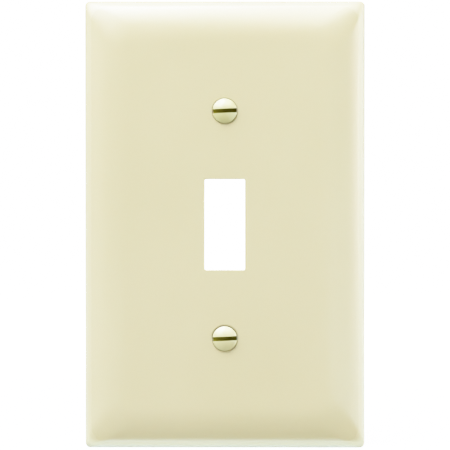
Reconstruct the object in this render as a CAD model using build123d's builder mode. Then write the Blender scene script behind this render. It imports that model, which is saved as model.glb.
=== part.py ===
from build123d import *
import os
from math import cos, radians, sin, tan

# One-gang wall plate for a toggle switch, with its two captive oval-head screws.
# Millimetres. The origin is on the wall plane, midway between the screws. +X is right as seen
# from the front, +Z is up, and the face looks towards -Y. A level is a distance in front of the wall.

# Plate
plate_width = 2.9375 * IN
plate_height = 4.6875 * IN
plate_depth = 5.95
wall = 2.2

# Edge profile, going outwards: flat face, long bevel arc, edge round, drafted side wall
bevel_span = 11.2
shoulder_slope = 24.0
edge_radius = 3.4
side_draft = 2.0
bevel_steps = 10
edge_steps = 10

# Corner radius in plan at the outline, halfway across the bevel and at the flat of the face
outline_corner = 1.3
bevel_corner = 5.7
face_corner = 0.8
smallest_corner = 0.6

# Toggle opening and the collar behind it
opening_width = 10.7
opening_height = 24.1
opening_corner = 0.4
collar_wall = 1.4
collar_level = 2.2

# Screw positions and the posts around them
screw_spacing = 2.375 * IN
post_radius = 4.4
post_level = 1.7
web_thickness = 0.8
web_bore_radius = 1.45
post_bore_radius = 1.95
mouth_radius = 3.45
head_angle = 82.0

# Ribs and ejector marks on the back
rib_thickness = 1.0
rib_level = 2.4
ejector_radius = 2.0
ejector_depth = 0.15
ejector_columns = 44.0
ejector_rows = 42.0

# Edge breaks
opening_break = 0.2
mouth_break = 0.1
rim_break = 0.25
post_break = 0.3
edge_tolerance = 0.01

# 6-32 oval-head screw
head_radius = 3.25
head_band = 0.25
dome_height = 1.1
seat_gap = 0.285
screw_length = 0.5 * IN
neck_radius = 1.22
slot_width = 0.97
slot_depth = 1.6
slot_tilt = 2.5

# 6-32 thread
thread_length = 8.42
thread_pitch = IN / 32
thread_radius = 1.7525
thread_depth = 0.46
crest_width = thread_pitch / 8
flank_angle = 30.0
tip_chamfer = 0.45
cutter_overlap = 0.03
groove_lead_in = thread_pitch / 2
groove_run_out = thread_pitch

# Values worked out from the sizes above
screw_z = screw_spacing / 2
screw_places = [(0, screw_z), (0, -screw_z)]
side_slope = 90.0 - side_draft
shoulder, side = radians(shoulder_slope), radians(side_slope)
draft = tan(radians(side_draft))
edge_run = edge_radius * (sin(side) - sin(shoulder))
edge_drop = edge_radius * (cos(shoulder) - cos(side))
bevel_radius = (bevel_span - edge_run - (plate_depth - edge_drop) * draft) / (
    sin(shoulder) - (1 - cos(shoulder)) * draft
)
ceiling_level = plate_depth - wall
rooted_level = plate_depth - wall / 2

# Screw levels. The screws hang loose in their webs, with their cones a little off the countersinks
cone_slope = tan(radians(head_angle / 2))
seat_level = (
    plate_depth
    - (mouth_radius - head_radius) / cone_slope
    + seat_gap / sin(radians(head_angle / 2))
)
cone_height = (head_radius - neck_radius) / cone_slope
dome_level = seat_level + head_band + dome_height
dome_radius = (head_radius**2 + dome_height**2) / (2 * dome_height)
tip_level = seat_level - screw_length
thread_level = tip_level + thread_length
flank = tan(radians(flank_angle))
groove_half = (thread_pitch - crest_width) / 2


def skin_point(slope):
    """Run outwards from the flat, and drop below the face, where the outer skin has this slope."""
    angle = radians(slope)
    run = bevel_radius * sin(min(angle, shoulder))
    drop = bevel_radius * (1 - cos(min(angle, shoulder)))
    if angle > shoulder:
        run += edge_radius * (sin(angle) - sin(shoulder))
        drop += edge_radius * (cos(shoulder) - cos(angle))
    return run, drop


def corner_radius(inset):
    """Corner radius in plan of the outer skin, this far in from the outline."""
    share = inset / bevel_span
    return (
        outline_corner * (1 - share) * (1 - 2 * share)
        + bevel_corner * 4 * share * (1 - share)
        + face_corner * share * (2 * share - 1)
    )


def skin_section(slope, thickness):
    """Inset from the outline, corner radius and level of the surface that lies this thickness
    behind the outer skin, where it has this slope."""
    run, drop = skin_point(slope)
    inset = bevel_span - run
    shift = thickness * sin(radians(slope))
    corner = max(corner_radius(inset) - shift, smallest_corner)
    return inset + shift, corner, plate_depth - drop - thickness * cos(radians(slope))


def skin_sections(thickness, rear_level):
    """The sections of one skin from the rear forwards."""
    edge_slopes = [
        shoulder_slope + (side_slope - shoulder_slope) * step / edge_steps
        for step in range(edge_steps, 0, -1)
    ]
    bevel_slopes = [shoulder_slope * step / bevel_steps for step in range(bevel_steps, -1, -1)]
    sections = [skin_section(slope, thickness) for slope in edge_slopes + bevel_slopes]
    inset, corner, level = sections[0]
    return [(inset - (level - rear_level) * draft, corner, rear_level)] + sections


with BuildPart() as wall_plate:
    for inset, corner, level in skin_sections(0, 0):
        with BuildSketch(Plane.XZ.offset(level)):
            RectangleRounded(plate_width - 2 * inset, plate_height - 2 * inset, corner)
    loft(ruled=True)

    for inset, corner, level in skin_sections(wall, -rim_break):
        with BuildSketch(Plane.XZ.offset(level)):
            RectangleRounded(plate_width - 2 * inset, plate_height - 2 * inset, corner)
    loft(ruled=True, mode=Mode.SUBTRACT)

    # Ribs: a spine through the posts, and one rib across behind each post
    with BuildSketch(Plane.XZ.offset(rib_level)):
        Rectangle(rib_thickness, plate_height - bevel_span)
        with Locations(*screw_places):
            Rectangle(plate_width - bevel_span, rib_thickness)
    extrude(amount=rooted_level - rib_level)

    # Screw posts and the collar round the opening
    with BuildSketch(Plane.XZ.offset(post_level)):
        with Locations(*screw_places):
            Circle(post_radius)
    extrude(amount=rooted_level - post_level)
    with BuildSketch(Plane.XZ.offset(collar_level)):
        Rectangle(opening_width + 2 * collar_wall, opening_height + 2 * collar_wall)
    extrude(amount=rooted_level - collar_level)

    # Toggle opening
    with BuildSketch(Plane.XZ):
        RectangleRounded(opening_width, opening_height, opening_corner)
    extrude(amount=plate_depth, mode=Mode.SUBTRACT)

    # Countersunk screw holes, each closed at the back by a thin web that holds the screw in
    with Locations(Plane.XZ.offset(plate_depth)):
        with Locations(*screw_places):
            CounterSinkHole(
                radius=post_bore_radius,
                counter_sink_radius=mouth_radius,
                depth=plate_depth - post_level - web_thickness,
                counter_sink_angle=head_angle,
            )
            Hole(web_bore_radius)

    # Ejector marks
    with BuildSketch(Plane.XZ.offset(ceiling_level)):
        with GridLocations(ejector_columns, ejector_rows, 2, 3):
            Circle(ejector_radius)
    extrude(amount=ejector_depth, mode=Mode.SUBTRACT)

    # Broken edges
    rim = wall_plate.faces().filter_by(Axis.Y).sort_by(Axis.Y)[-1]
    fillet(rim.edges(), rim_break)
    face = wall_plate.faces().filter_by(Axis.Y).sort_by(Axis.Y)[0]
    mouths = face.edges().filter_by(GeomType.CIRCLE).group_by(SortBy.RADIUS)[-1]
    chamfer(mouths, mouth_break)
    opening_edges = wall_plate.edges().filter_by(
        lambda edge: abs(edge.center().Y + plate_depth) < edge_tolerance
        and abs(edge.center().X) < opening_width / 2 + edge_tolerance
        and abs(edge.center().Z) < opening_height / 2 + edge_tolerance
    )
    fillet(opening_edges, opening_break)
    posts = wall_plate.edges().filter_by(GeomType.CIRCLE).filter_by(
        lambda edge: abs(edge.radius - post_radius) < edge_tolerance
        and abs(edge.center().Y + post_level) < edge_tolerance
    )
    fillet(posts, post_break)


# The screw is drawn on the Y axis, then placed in each hole
with BuildPart() as screw:
    with BuildSketch():
        with BuildLine():
            dome_top = (0, -dome_level)
            dome_foot = (head_radius, dome_height - dome_level)
            RadiusArc(dome_top, dome_foot, -dome_radius)
            Polyline(
                dome_foot,
                (head_radius, -seat_level),
                (neck_radius, -seat_level + cone_height),
                (neck_radius, -thread_level),
                (thread_radius, -thread_level + thread_radius - neck_radius),
                (thread_radius, -tip_level - tip_chamfer),
                (thread_radius - tip_chamfer, -tip_level),
                (0, -tip_level),
                dome_top,
            )
        make_face()
    revolve(axis=Axis.Y)

    # Driver slot
    with BuildSketch(Plane.XZ.offset(dome_level - slot_depth)):
        Rectangle(3 * head_radius, slot_width, rotation=slot_tilt)
    extrude(amount=2 * slot_depth, mode=Mode.SUBTRACT)

    # Thread groove
    with BuildLine():
        thread_path = Helix(
            thread_pitch,
            groove_lead_in + thread_level - tip_level + groove_run_out,
            thread_radius,
            center=(0, -thread_level - groove_lead_in, 0),
            direction=(0, 1, 0),
        )
    with BuildSketch(Plane(thread_path @ 0, x_dir=(0, 1, 0), z_dir=thread_path % 0)):
        with BuildLine():
            Polyline(
                (-groove_half - cutter_overlap * flank, cutter_overlap),
                (groove_half + cutter_overlap * flank, cutter_overlap),
                (groove_half - thread_depth * flank, -thread_depth),
                (thread_depth * flank - groove_half, -thread_depth),
                close=True,
            )
        make_face()
    sweep(path=thread_path, is_frenet=True, mode=Mode.SUBTRACT)

with BuildPart() as upper_screw:
    with Locations((0, 0, screw_z)):
        add(screw.part)

with BuildPart() as lower_screw:
    with Locations((0, 0, -screw_z)):
        add(screw.part)


os.makedirs("parts", exist_ok=True)

wall_plate.part.label = "wall_plate"
export_step(wall_plate.part, "parts/wall_plate.step")

upper_screw.part.label = "upper_screw"
export_step(upper_screw.part, "parts/upper_screw.step")

lower_screw.part.label = "lower_screw"
export_step(lower_screw.part, "parts/lower_screw.step")
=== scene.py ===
"""Looks for a one-gang toggle switch wall plate with its two screws.

Everything is in metres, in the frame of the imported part: +X right as seen from the front, +Z up, and the
face looking towards -Y. The origin is on the wall plane, midway between the screws.
"""

import math
import bpy
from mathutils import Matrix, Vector


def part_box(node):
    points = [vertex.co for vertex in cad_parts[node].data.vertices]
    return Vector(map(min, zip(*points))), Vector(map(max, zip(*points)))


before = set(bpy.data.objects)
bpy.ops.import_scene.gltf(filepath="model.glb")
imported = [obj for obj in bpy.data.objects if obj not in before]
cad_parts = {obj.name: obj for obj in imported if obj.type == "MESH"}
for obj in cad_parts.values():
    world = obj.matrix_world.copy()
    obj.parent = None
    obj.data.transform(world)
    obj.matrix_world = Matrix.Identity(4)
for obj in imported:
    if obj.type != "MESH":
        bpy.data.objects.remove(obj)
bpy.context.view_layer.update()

MM = 0.001

# The frame's own measures, which everything below is placed from
plate_low, plate_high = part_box("wall_plate")
face_y = plate_low.y
screw_low, screw_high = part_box("upper_screw")
screw_z = (screw_low.z + screw_high.z) / 2

# The screws' slots, the level where they end, and the level where the head's enamel stops
SLOT_TILT = math.radians(2.5)
SLOT_HALF = 0.485 * MM
SLOT_FLOOR = screw_low.y + 1.58 * MM
HEAD_BACK = screw_low.y + 1.6 * MM

# Painted shade in the screw holes: it fades out between these distances from the axis, and deepens over this
# depth.
# The lower hole has more, above its axis. The first pair of heights tells the two holes apart, and the
# second pair, counted from the lower axis, tells its upper half
RIM_RADII = (3.5 * MM, 3.95 * MM)
RIM_DEPTH = 0.2 * MM
LOWER_HOLE_FADE = (-10 * MM, 0.0)
UPPER_HALF_FADE = (-1.0 * MM, 2.5 * MM)
HOLE_SHADE_SHARE = 0.3
FRONT_SHADE_SHARE = 0.55

# Behind the face, the smooth outer skin of the plate gives way to its grained back between these depths
BACK_DEPTHS = (2.0 * MM, 2.3 * MM)

# The range that most of a noise pattern's values lie in, and narrower ranges for a sharper pattern
MOST_NOISE = (0.3, 0.7)
SHARPER_NOISE = (0.35, 0.65)
BROKEN_NOISE = (0.38, 0.66)

# How fine the patterns are, in noise cells per metre
PIGMENT_CLOUDS = 26
PIGMENT_SPECKS = 1500
PLASTIC_WEAR = 420
PLASTIC_SMEARS = 160
PLASTIC_POLISH = 900
PLASTIC_WAVES = 70
PLASTIC_FINE_GRAIN = 5200
BACK_GRAIN = 2400
ENAMEL_BLOTCHES = 900
ENAMEL_SHADES = 240
ENAMEL_WEAR = 2600
ENAMEL_PEEL = 1300
TURNING_MARKS = (300, 9000, 300)

# Plastic: how much of its colour each pattern takes, its roughness, its relief and its translucency
SPECK_SHARE = 0.04
OUTLINE_WEAR = 0.35
OUTLINE_WEAR_REACH = 1.2 * MM
FACE_ROUGHNESS = (0.23, 0.26)
SMEAR_ROUGHNESS = 0.01
WORN_ROUGHNESS = 0.25
BACK_ROUGHNESS = 0.17
WAVE_HEIGHT = 0.004 * MM
FINE_GRAIN_HEIGHT = 0.0006 * MM
BACK_GRAIN_HEIGHT = 0.02 * MM
SCATTER_SHARE = 0.08
SCATTER_DEPTH = 0.6 * MM

# Screws: where the slot fades out, how far the enamel reaches, the oxide in the slot with its painted shade,
# the roughness and the relief
SLOT_SIDE_FADE = (0.03 * MM, 0.12 * MM)
SLOT_FLOOR_FADE = (0.05 * MM, 0.15 * MM)
LIP_WEAR = 0.5
LIP_WEAR_REACH = 0.22 * MM
ENAMEL_RAGGEDNESS = 0.4 * MM
ENAMEL_FADE = 0.25 * MM
SLOT_SHADE_SPAN = 3.0 * MM
SLOT_LIT_END = 0.8
OXIDE_BLOTCHES = 0.2
HEAD_ROUGHNESS = (0.31, 0.37)
LIP_ROUGHNESS = 0.2
ZINC_ROUGHNESS = 0.12
SLOT_ROUGHNESS = 0.7
HEAD_SPECULAR = 0.5
PEEL_HEIGHT = 0.006 * MM
TURNING_HEIGHT = 0.01 * MM

# Colours
IVORY = (0.620, 0.517, 0.246, 1)
PALE_IVORY = (0.645, 0.539, 0.263, 1)
SPECK = (0.66, 0.62, 0.36, 1)
RUBBED_IVORY = (0.70, 0.67, 0.42, 1)
# Painted shade for the screw holes
HOLE_SHADE = (0.10, 0.085, 0.02, 1)
# One enamel in two copies: the upper screw's is darker, as painted shade, and the lower screw's lighter, as
# painted light
SHADED_UPPER_ENAMEL = ((0.54, 0.48, 0.172, 1), (0.58, 0.51, 0.19, 1))
LIT_LOWER_ENAMEL = ((0.64, 0.565, 0.24, 1), (0.68, 0.60, 0.265, 1))
RUBBED_ENAMEL = (0.30, 0.27, 0.12, 1)
ZINC = (0.30, 0.31, 0.30, 1)
PALE_ZINC = (0.42, 0.41, 0.37, 1)
# Oxide in the slot, with painted shade: darkest at the slot's right end, lighter at its lit left end
SHADED_OXIDE = (0.085, 0.075, 0.004, 1)
LIT_OXIDE = (0.25, 0.22, 0.02, 1)
FLOOR_SEEN = (0.8, 0.8, 0.8, 1)
FLOOR_UNSEEN = (0.115, 0.125, 0.10, 1)
EDGE_TINT = (1.0, 0.93, 0.55, 1)
MIRRORED_TINT = (0.68, 0.98, 1.2, 1)
WHITE = (1, 1, 1, 1)

# Camera, in degrees and metres
CAMERA_FIELD = 9.16
CAMERA_TURN = 0.6
CAMERA_RISE = 0.7
CAMERA_DISTANCE = 0.75
CAMERA_TARGET = (0, 0, -0.15 * MM)
CAMERA_CLIP = (0.01, 10)

# Film and world. A light of strength FILM_WHITE is shown as white
FILM_WHITE = 6.0
FILM_STEPS = 16
WORLD_FILL = 0.05

# How far each light stands from the origin
LIGHT_DISTANCE = 0.95

# Floor: its size, and its glow as the camera sees it, from near the plate to far away
FLOOR_HALF = 20.0
FLOOR_ROUGHNESS = 0.6
FLOOR_GLOW = 3.2
GLOW_NEAR, GLOW_FAR = 0.1, 0.6

# The strip of floor that lights the plate's lower edge: where it begins, where it weakens, and how strong
# it is in diffuse light and in highlights
STRIP_FRONT = (-6.9 * MM, -5.0 * MM)
STRIP_MIDDLE = (-3.6 * MM, -1.5 * MM)
STRIP_BACK_SHARE = 0.35
STRIP_GLOW = 0.4
STRIP_MIRRORED = 17.0

# The floor to the left and right, which shows in highlights. It weakens to FRONT_SHARE as the way there
# from the plate turns forwards, between these two ratios of forwards to sideways
SIDE_NEAR, SIDE_FAR = 45 * MM, 80 * MM
LEFT_MIRRORED = 3.0
RIGHT_MIRRORED = 10.0
FORWARD_RATIOS = (0.35, 1.0)
FRONT_SHARE = 0.6

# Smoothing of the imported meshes
SHARP_ANGLE = math.radians(20.0)
PLACE_STEP = 0.0005 * MM
NORMAL_WEIGHT = 100


class Shader:
    """A short way to write node trees: each call adds a node and returns its output."""

    def __init__(self, name):
        self.material = bpy.data.materials.new(name)
        self.material.use_nodes = True
        self.tree = self.material.node_tree
        self.surface = self.tree.nodes["Principled BSDF"]
        self.position = self.tree.nodes.new("ShaderNodeTexCoord").outputs["Object"]
        split = self.tree.nodes.new("ShaderNodeSeparateXYZ")
        self.put(self.position, split.inputs[0])
        self.x, self.y, self.z = split.outputs

    def put(self, value, socket):
        """Links an output to a socket, or sets the socket to a plain value."""
        if isinstance(value, bpy.types.NodeSocket):
            self.tree.links.new(value, socket)
        else:
            socket.default_value = value

    def set(self, **values):
        """Sets inputs of the surface by name, with _ for each space."""
        for name, value in values.items():
            self.put(value, self.surface.inputs[name.replace("_", " ")])

    def math(self, operation, a, b=0.0):
        node = self.tree.nodes.new("ShaderNodeMath")
        node.operation = operation
        for value, socket in zip((a, b), node.inputs):
            self.put(value, socket)
        return node.outputs[0]

    def plus(self, a, b):
        return self.math("ADD", a, b)

    def minus(self, a, b):
        return self.math("SUBTRACT", a, b)

    def times(self, a, b):
        return self.math("MULTIPLY", a, b)

    def larger(self, a, b):
        return self.math("MAXIMUM", a, b)

    def absolute(self, value):
        return self.math("ABSOLUTE", value)

    def length(self, a, b):
        """Length of the vector with these two components."""
        return self.math("SQRT", self.plus(self.math("POWER", a, 2.0), self.math("POWER", b, 2.0)))

    def ramp(self, value, low, high, to_low=0.0, to_high=1.0):
        """Maps value from the range low..high onto to_low..to_high, smoothly and clamped."""
        node = self.tree.nodes.new("ShaderNodeMapRange")
        node.interpolation_type = "SMOOTHSTEP"
        for entry, socket in zip((value, low, high, to_low, to_high), node.inputs):
            self.put(entry, socket)
        return node.outputs[0]

    def noise(self, per_metre, detail=3.0, roughness=0.5, stretch=(1, 1, 1)):
        mapping = self.tree.nodes.new("ShaderNodeMapping")
        mapping.inputs["Scale"].default_value = stretch
        self.put(self.position, mapping.inputs["Vector"])
        node = self.tree.nodes.new("ShaderNodeTexNoise")
        self.put(mapping.outputs[0], node.inputs["Vector"])
        self.put(per_metre, node.inputs["Scale"])
        self.put(detail, node.inputs["Detail"])
        self.put(roughness, node.inputs["Roughness"])
        return node.outputs["Fac"]

    def mix(self, share, a, b):
        """Colour a where share is 0, colour b where it is 1."""
        node = self.tree.nodes.new("ShaderNodeMix")
        node.data_type = "RGBA"
        self.put(share, node.inputs["Factor"])
        self.put(a, node.inputs["A"])
        self.put(b, node.inputs["B"])
        return node.outputs["Result"]

    def bump(self, height, distance, normal=None):
        """The normal, tipped by a height of 0 to 1 that stands for this distance."""
        node = self.tree.nodes.new("ShaderNodeBump")
        self.put(distance, node.inputs["Distance"])
        self.put(height, node.inputs["Height"])
        if normal is not None:
            self.put(normal, node.inputs["Normal"])
        return node.outputs["Normal"]


def edge_wear(s, distance, reach, per_metre):
    """One on an edge, falling to zero at this distance from it, broken up so that it looks handled."""
    near = s.ramp(distance, 0.0, reach, 1.0, 0.0)
    return s.times(near, s.ramp(s.noise(per_metre, detail=5), *BROKEN_NOISE))


def outline_wear(s):
    """Slight rubbing along the outline of the plate."""
    from_side = s.minus(plate_high.x, s.absolute(s.x))
    from_end = s.minus(plate_high.z, s.absolute(s.z))
    from_outline = s.math("MINIMUM", from_side, from_end)
    return s.times(edge_wear(s, from_outline, OUTLINE_WEAR_REACH, PLASTIC_WEAR), OUTLINE_WEAR)


def hole_painted_shade(s):
    """Painted shade inside the screw holes, darkest in the upper half of the lower hole."""
    from_axis = s.length(s.x, s.minus(s.absolute(s.z), screw_z))
    at_rim = s.ramp(from_axis, *RIM_RADII, 1.0, 0.0)
    inside = s.ramp(s.y, face_y, face_y + RIM_DEPTH)
    lower_hole = s.ramp(s.z, *LOWER_HOLE_FADE, 1.0, 0.0)
    upper_half = s.ramp(s.plus(s.z, screw_z), *UPPER_HALF_FADE)
    gap_shade = s.times(s.times(lower_hole, upper_half), s.ramp(inside, 0.0, 1.0, FRONT_SHADE_SHARE, 1.0))
    return s.times(at_rim, s.larger(gap_shade, s.times(inside, HOLE_SHADE_SHARE)))


def ivory_plastic():
    """Moulded ivory plastic: smooth on the face, a fine spark-eroded grain on the back."""
    s = Shader("ivory_plastic")
    wear = outline_wear(s)

    # Slow clouds in the pigment, fine specks, rubbed edges, and painted shade in the screw holes
    cloud = s.ramp(s.noise(PIGMENT_CLOUDS), *MOST_NOISE)
    speck = s.ramp(s.noise(PIGMENT_SPECKS, detail=2), *SHARPER_NOISE)
    colour = s.mix(cloud, IVORY, PALE_IVORY)
    colour = s.mix(s.times(speck, SPECK_SHARE), colour, SPECK)
    colour = s.mix(wear, colour, RUBBED_IVORY)
    # The screw holes are darkened with painted shade
    colour = s.mix(hole_painted_shade(s), colour, HOLE_SHADE)

    # The face has a faint uneven polish, and it dulls where it is rubbed. The back is matt
    back = s.ramp(s.minus(s.y, face_y), *BACK_DEPTHS)
    smears = s.noise(PLASTIC_SMEARS, detail=4, stretch=(1, 1, 0.35))
    roughness = s.ramp(s.noise(PLASTIC_POLISH), *MOST_NOISE, *FACE_ROUGHNESS)
    roughness = s.plus(roughness, s.ramp(smears, *MOST_NOISE, 0.0, SMEAR_ROUGHNESS))
    roughness = s.plus(roughness, s.times(wear, WORN_ROUGHNESS))
    roughness = s.plus(roughness, s.times(back, BACK_ROUGHNESS))

    # Flow waves and a very fine grain all over, and a coarser grain on the back
    normal = s.bump(s.noise(PLASTIC_WAVES, detail=1), WAVE_HEIGHT)
    normal = s.bump(s.noise(PLASTIC_FINE_GRAIN, detail=2), FINE_GRAIN_HEIGHT, normal)
    normal = s.bump(s.times(back, s.noise(BACK_GRAIN, roughness=0.65)), BACK_GRAIN_HEIGHT, normal)

    s.set(
        Base_Color=colour,
        Roughness=roughness,
        Normal=normal,
        Subsurface_Weight=SCATTER_SHARE,
        Subsurface_Scale=SCATTER_DEPTH,
    )
    return s.material


def ivory_enamel(name, axis_z, shades):
    """Baked enamel on the screw's head, dark oxide with painted shade in the slot, and zinc plate on the
    neck and thread.
    """
    s = Shader(name)
    up = s.minus(s.z, axis_z)
    across_slot = s.absolute(s.minus(s.times(up, math.cos(SLOT_TILT)), s.times(s.x, math.sin(SLOT_TILT))))
    blotch = s.noise(ENAMEL_BLOTCHES, detail=4)

    # Where the slot is, where its lip has been rubbed, and where the enamel stops
    beyond_slot = s.minus(across_slot, SLOT_HALF)
    in_slot = s.times(
        s.ramp(beyond_slot, *SLOT_SIDE_FADE, 1.0, 0.0),
        s.ramp(s.minus(s.y, SLOT_FLOOR), *SLOT_FLOOR_FADE, 1.0, 0.0),
    )
    out_of_slot = s.minus(1.0, in_slot)
    lip = edge_wear(s, beyond_slot, LIP_WEAR_REACH, ENAMEL_WEAR)
    ragged_y = s.plus(s.y, s.times(blotch, ENAMEL_RAGGEDNESS))
    bare = s.ramp(ragged_y, HEAD_BACK, HEAD_BACK + ENAMEL_FADE)

    # Painted shade in the slot: the oxide is lighter at the slot's left end, where light falls in, and
    # darkest at its right end, with random blotches
    slot_lit_share = s.plus(
        s.ramp(s.x, -SLOT_SHADE_SPAN, SLOT_SHADE_SPAN, SLOT_LIT_END, 0.0),
        s.ramp(blotch, *SHARPER_NOISE, 0.0, OXIDE_BLOTCHES),
    )
    slot_oxide_and_shade = s.mix(slot_lit_share, SHADED_OXIDE, LIT_OXIDE)
    zinc = s.mix(s.ramp(blotch, *SHARPER_NOISE), ZINC, PALE_ZINC)
    colour = s.mix(s.ramp(s.noise(ENAMEL_SHADES, detail=2), *MOST_NOISE), *shades)
    colour = s.mix(s.times(lip, LIP_WEAR), colour, RUBBED_ENAMEL)
    colour = s.mix(bare, colour, zinc)
    colour = s.mix(in_slot, colour, slot_oxide_and_shade)

    roughness = s.ramp(blotch, *MOST_NOISE, *HEAD_ROUGHNESS)
    roughness = s.plus(roughness, s.times(lip, LIP_ROUGHNESS))
    roughness = s.plus(roughness, s.times(bare, ZINC_ROUGHNESS))
    roughness = s.larger(roughness, s.times(in_slot, SLOT_ROUGHNESS))

    # A fine orange peel in the enamel, and the marks of turning on the neck and thread
    turned = s.noise(1, detail=4, stretch=TURNING_MARKS)
    normal = s.bump(s.noise(ENAMEL_PEEL, detail=1), PEEL_HEIGHT)
    normal = s.bump(s.times(bare, turned), TURNING_HEIGHT, normal)

    s.set(
        Base_Color=colour,
        Metallic=s.times(bare, out_of_slot),
        Roughness=roughness,
        Specular_IOR_Level=s.times(out_of_slot, HEAD_SPECULAR),
        Normal=normal,
    )
    return s.material


def smooth(node):
    """Joins the mesh's split vertices, and shades it smoothly between its true edges."""
    mesh = node.data
    mesh.attributes.remove(mesh.attributes["custom_normal"])
    mesh.shade_smooth()
    mark_sharp_edges(mesh)
    weld = node.modifiers.new("weld", "WELD")
    weld.merge_threshold = PLACE_STEP
    weighted = node.modifiers.new("weighted_normals", "WEIGHTED_NORMAL")
    weighted.keep_sharp = True
    weighted.weight = NORMAL_WEIGHT


def mark_sharp_edges(mesh):
    """Marks the edges where the surface turns by more than SHARP_ANGLE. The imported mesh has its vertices
    split along every face, so the two sides of an edge are matched by the places of its ends."""
    sides = {}
    for polygon in mesh.polygons:
        for key in polygon.edge_keys:
            ends = [tuple(round(c / PLACE_STEP) for c in mesh.vertices[v].co) for v in key]
            sides.setdefault(tuple(sorted(ends)), []).append((key, polygon.normal))
    limit = math.cos(SHARP_ANGLE)
    sharp = set()
    for shared in sides.values():
        first_normal = shared[0][1]
        if any(first_normal.dot(normal) < limit for key, normal in shared):
            sharp.update(key for key, normal in shared)
    for edge in mesh.edges:
        edge.use_edge_sharp = edge.key in sharp


def finish_nodes():
    """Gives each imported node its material, and smooths its mesh."""
    finishes = {
        "wall_plate": ivory_plastic(),
        # Shaded and lit copies of one enamel: painted shade on the upper screw, painted light on the lower
        "upper_screw": ivory_enamel("upper_enamel_shaded", screw_z, SHADED_UPPER_ENAMEL),
        "lower_screw": ivory_enamel("lower_enamel_lit", -screw_z, LIT_LOWER_ENAMEL),
    }
    for name, finish in finishes.items():
        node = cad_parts[name]
        node.material_slots[0].link = "OBJECT"
        node.material_slots[0].material = finish
        smooth(node)


def studio_light(name, tip, turn, size, power, colour=(1, 1, 1), sheen=False):
    """A softbox that faces the plate. It stands tip degrees off the plate's own axis (0 is straight in
    front), on the side that turn says: 0 right, 90 above, 180 left. A sheen only shows in highlights."""
    tip, turn = math.radians(tip), math.radians(turn)
    way = Vector((math.sin(tip) * math.cos(turn), -math.cos(tip), math.sin(tip) * math.sin(turn)))
    data = bpy.data.lights.new(name, "AREA")
    data.shape = "RECTANGLE"
    data.size, data.size_y = size
    data.energy = power
    data.color = colour
    light = bpy.data.objects.new(name, data)
    light.location = way * LIGHT_DISTANCE
    light.rotation_mode = "QUATERNION"
    light.rotation_quaternion = (-way).to_track_quat("-Z", "Y")
    light.visible_camera = False
    light.visible_diffuse = not sheen
    bpy.context.scene.collection.objects.link(light)


def build_lights():
    """Soft light from above and a little from the left, with large walls of light at both sides."""
    studio_light("top_softbox", 59, 104, (0.35, 0.7), 23.9, (0.88, 0.96, 1.15))
    studio_light("top_strip", 90, 90, (0.35, 0.35), 3.5, (0.6, 1.0, 1.8))
    studio_light("top_left_softbox", 68, 135, (0.35, 0.35), 7.0, (1.0, 0.97, 1.05))
    studio_light("left_softbox", 48, 180, (0.35, 0.5), 1.5)
    studio_light("left_wall", 84, 165, (0.9, 1.0), 9.0, (0.95, 1.0, 1.12))
    studio_light("right_softbox", 55, 0, (0.35, 0.35), 4.6, (1.14, 0.96, 0.88))
    studio_light("right_wall", 96, 5, (0.9, 1.0), 22.5, (0.92, 1.0, 1.15))
    studio_light("right_sheen", 78, -8, (0.9, 1.2), 52.0, (0.92, 1.0, 1.05), sheen=True)
    studio_light("top_sheen", 104, 90, (0.8, 0.6), 12.0, (0.7, 1.0, 1.3), sheen=True)
    studio_light("top_left_sheen", 60, 122, (0.8, 0.9), 45.0, (0.85, 1.0, 1.2), sheen=True)
    studio_light("top_right_sheen", 55, 68, (0.75, 0.7), 31.0, (0.92, 1.0, 1.05), sheen=True)
    studio_light("rear_softbox", 140, 60, (0.6, 0.6), 12.0)


def floor_material():
    """White to the camera. To the plate it is a grey floor that glows in a strip under the rounded lower
    edge and, in highlights only, to the left and right."""
    s = Shader("floor")
    path = s.tree.nodes.new("ShaderNodeLightPath")
    seen = path.outputs["Is Camera Ray"]
    mirrored = path.outputs["Is Glossy Ray"]

    strip = s.times(s.ramp(s.y, *STRIP_FRONT), s.ramp(s.y, *STRIP_MIDDLE, 1.0, STRIP_BACK_SHARE))
    strip_glow = s.times(strip, s.plus(s.times(mirrored, STRIP_MIRRORED), STRIP_GLOW))
    left_glow = s.ramp(s.x, -SIDE_FAR, -SIDE_NEAR, LEFT_MIRRORED, 0.0)
    right_glow = s.ramp(s.x, SIDE_NEAR, SIDE_FAR, 0.0, RIGHT_MIRRORED)
    forwards = s.math("DIVIDE", s.times(s.y, -1.0), s.absolute(s.x))
    sideways = s.ramp(forwards, *FORWARD_RATIOS, 1.0, FRONT_SHARE)
    side_glow = s.times(s.times(mirrored, sideways), s.plus(left_glow, right_glow))
    shown = s.ramp(s.length(s.x, s.y), GLOW_NEAR, GLOW_FAR, FLOOR_GLOW, FILM_WHITE)

    s.set(
        Base_Color=s.mix(seen, FLOOR_UNSEEN, FLOOR_SEEN),
        Emission_Strength=s.larger(s.larger(strip_glow, side_glow), s.times(seen, shown)),
        Emission_Color=s.mix(seen, s.mix(mirrored, EDGE_TINT, MIRRORED_TINT), WHITE),
        Roughness=FLOOR_ROUGHNESS,
    )
    return s.material


def build_floor():
    """A wide pale floor at the level of the plate's lower edge."""
    mesh = bpy.data.meshes.new("floor")
    corners = [(-1, -1), (1, -1), (1, 1), (-1, 1)]
    mesh.from_pydata([(x * FLOOR_HALF, y * FLOOR_HALF, plate_low.z) for x, y in corners], [], [(0, 1, 2, 3)])
    mesh.materials.append(floor_material())
    floor = bpy.data.objects.new("floor", mesh)
    bpy.context.scene.collection.objects.link(floor)


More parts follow.
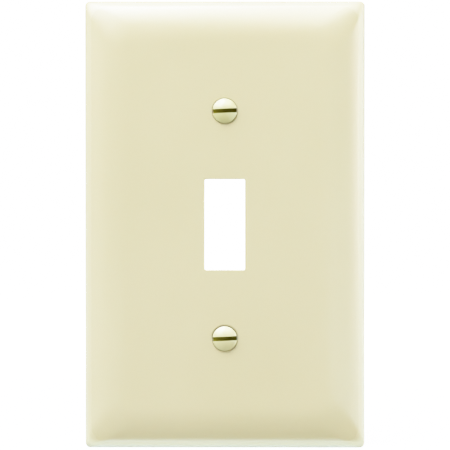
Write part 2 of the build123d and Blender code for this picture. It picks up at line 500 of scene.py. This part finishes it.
def build_world():
    """White to the camera, and nearly dark to everything else, so that the softboxes shape the plate."""
    world = bpy.data.worlds.new("studio")
    bpy.context.scene.world = world
    world.use_nodes = True
    tree = world.node_tree
    unseen = tree.nodes["Background"]
    seen = tree.nodes.new("ShaderNodeBackground")
    for background, strength in ((unseen, WORLD_FILL), (seen, FILM_WHITE)):
        background.inputs["Color"].default_value = WHITE
        background.inputs["Strength"].default_value = strength
    path = tree.nodes.new("ShaderNodeLightPath")
    blend = tree.nodes.new("ShaderNodeMixShader")
    tree.links.new(path.outputs["Is Camera Ray"], blend.inputs[0])
    tree.links.new(unseen.outputs[0], blend.inputs[1])
    tree.links.new(seen.outputs[0], blend.inputs[2])
    tree.links.new(blend.outputs[0], tree.nodes["World Output"].inputs["Surface"])


def build_camera():
    """Almost square on to the face, from a little above and a little to the right."""
    data = bpy.data.cameras.new("camera")
    data.lens = data.sensor_width / 2 / math.tan(math.radians(CAMERA_FIELD / 2))
    data.clip_start, data.clip_end = CAMERA_CLIP
    camera = bpy.data.objects.new("camera", data)
    turn, rise = math.radians(CAMERA_TURN), math.radians(CAMERA_RISE)
    back = Vector((math.sin(turn) * math.cos(rise), -math.cos(turn) * math.cos(rise), math.sin(rise)))
    camera.location = Vector(CAMERA_TARGET) + back * CAMERA_DISTANCE
    camera.rotation_mode = "QUATERNION"
    camera.rotation_quaternion = (-back).to_track_quat("-Z", "Y")
    bpy.context.scene.collection.objects.link(camera)
    bpy.context.scene.camera = camera


def film_response():
    """Tones as film shows them: a light of strength x is shown as 1 - exp(-x), so highlights roll off."""
    settings = bpy.context.scene.view_settings
    settings.view_transform = "Standard"
    settings.use_curve_mapping = True
    mapping = settings.curve_mapping
    mapping.white_level = (FILM_WHITE, FILM_WHITE, FILM_WHITE)
    all_channels = mapping.curves[3]
    for step in range(1, FILM_STEPS):
        share = (step / FILM_STEPS) ** 2
        shown = (1 - math.exp(-FILM_WHITE * share)) / (1 - math.exp(-FILM_WHITE))
        all_channels.points.new(share, shown)
    mapping.update()


finish_nodes()
build_floor()
build_lights()
build_world()
build_camera()
film_response()
